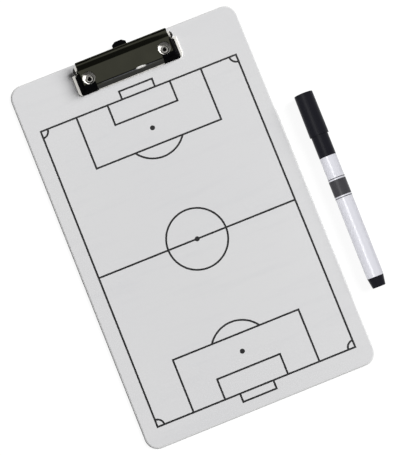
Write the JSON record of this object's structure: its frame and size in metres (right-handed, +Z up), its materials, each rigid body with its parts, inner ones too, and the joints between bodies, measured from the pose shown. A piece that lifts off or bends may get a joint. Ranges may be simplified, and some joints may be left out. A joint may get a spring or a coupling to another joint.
{
  "type": "tactics board",
  "caption": "Clipboard printed with a football pitch, with a low spring clip, a sliding hanging tab and a capped dry-erase marker lying beside it.",
  "frame": {"origin": "centre of the panel's underside, on the table", "axes": "+X across the panel towards the marker, +Y along the panel towards the clip, +Z up from the table"},
  "size_m": [0.2557, 0.355, 0.0179],
  "materials": {
    "panel_plastic": "moulded white plastic sheet, satin",
    "film": "glossy dry-erase film",
    "print_ink": "screen-printed black ink",
    "bright_nickel": "bright nickel plate",
    "black_nickel": "polished black nickel plate on pressed steel",
    "grip_rubber": "matt moulded",
    "rod_steel": "drawn wire, headed ends",
    "spring_steel": "drawn spring wire",
    "tab_plastic": "moulded black, satin",
    "marker_black": "moulded bluish black, satin",
    "marker_white": "moulded white, glossy",
    "band_ink": "printed dark grey",
    "ink_fibre": "pressed fibre soaked with black ink",
    "seal_plastic": "soft natural plastic"
  },
  "bodies": {
    "board": {"board_panel": "panel_plastic", "writing_film": "film", "pitch_markings": "print_ink", "clip_base_plate": "bright_nickel", "hinge_rod": "rod_steel", "spring_left": "spring_steel", "spring_right": "spring_steel", "rivet_left": "bright_nickel", "rivet_right": "bright_nickel"},
    "jaw": {"clip_jaw": "black_nickel", "corner_grip_left": "grip_rubber", "corner_grip_right": "grip_rubber"},
    "hanger": {"hanger_tab": "tab_plastic"},
    "marker": {"marker_end_plug": "marker_black", "marker_barrel": "marker_white", "marker_band": "band_ink", "marker_front_section": "marker_black", "ink_reservoir": "ink_fibre", "marker_nib": "ink_fibre"},
    "cap": {"marker_cap": "marker_black", "cap_seal": "seal_plastic"}
  },
  "joints": [
    {"name": "jaw_hinge", "type": "hinge", "parent": "board", "child": "jaw", "pos_m": [0, 0.1668, 0.00855], "axis": [-1, 0, 0], "range_deg": [0, 25], "stiffness_Nm_per_rad": 0.4, "springref_deg": -57.3, "deforming": ["spring_left", "spring_right"]},
    {"name": "hanger_slide", "type": "slide", "parent": "board", "child": "hanger", "axis": [0, 1, 0], "range_m": [0, 0.012]},
    {"name": "marker_lift", "type": "slide", "parent": "board", "child": "marker", "axis": [0, 0, 1], "range_m": [0, 0.12]},
    {"name": "cap_pull", "type": "slide", "parent": "marker", "child": "cap", "axis": [0.0119, 0.9999, 0.0081], "range_m": [0, 0.045]}
  ]
}
